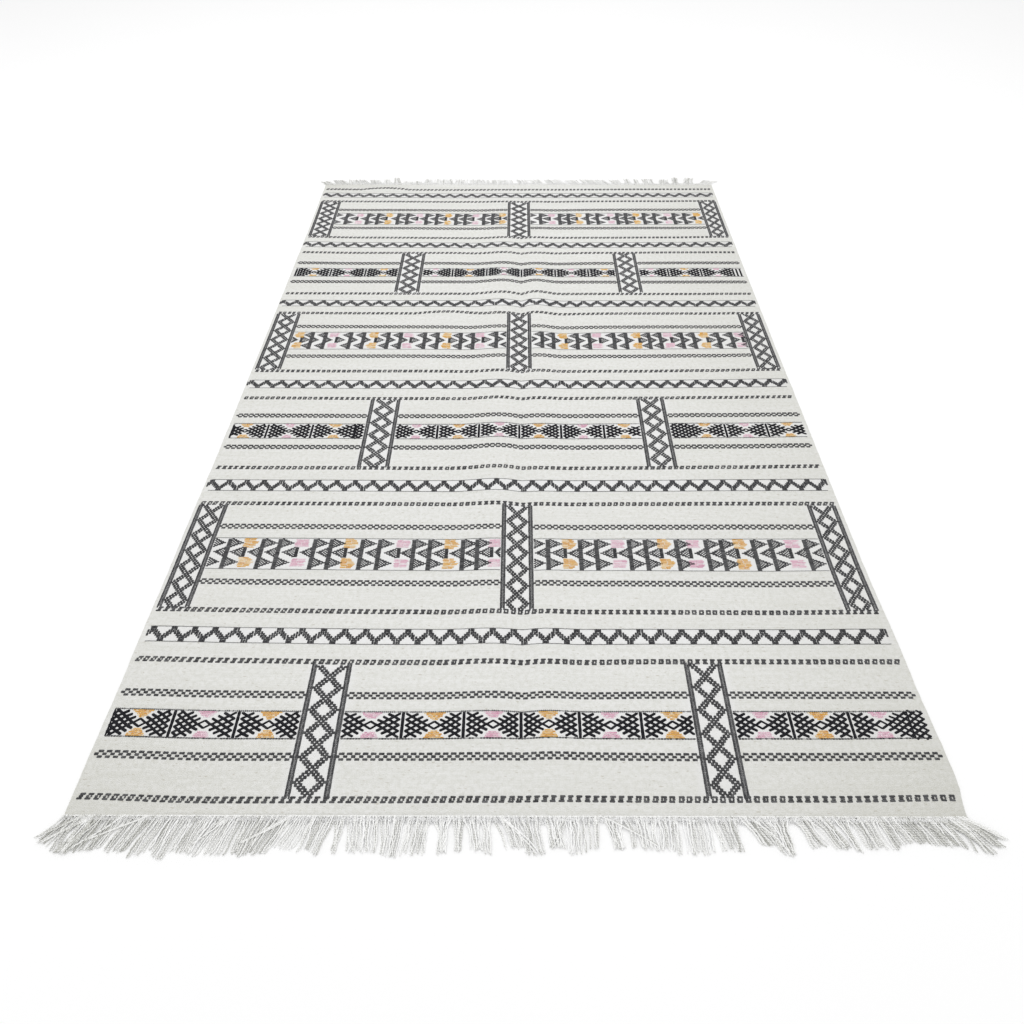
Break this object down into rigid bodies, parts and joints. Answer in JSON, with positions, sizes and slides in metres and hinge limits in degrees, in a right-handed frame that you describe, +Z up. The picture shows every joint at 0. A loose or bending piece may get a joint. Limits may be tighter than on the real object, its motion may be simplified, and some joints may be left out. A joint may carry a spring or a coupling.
{
  "type": "moroccan kilim rug",
  "caption": "Flat woven wool rug laid on a floor, with a soft lengthwise crease and a loose yarn fringe on both short ends.",
  "frame": {"origin": "on the floor, under the middle of the rug", "axes": "+X across the rug's width to the right, +Y along its length to the back end, +Z up from the floor"},
  "size_m": [1.7067, 2.7579, 0.0138],
  "materials": {
    "woven_cloth": "natural white plain weave in wool, matt, with brocaded bands in charcoal, ochre and pink yarn",
    "fringe_yarn": "natural white warp yarn, twisted, matt"
  },
  "bodies": {
    "root": {"kilim_cloth": "woven_cloth", "fringe_front": "fringe_yarn", "fringe_back": "fringe_yarn"}
  },
  "joints": []
}
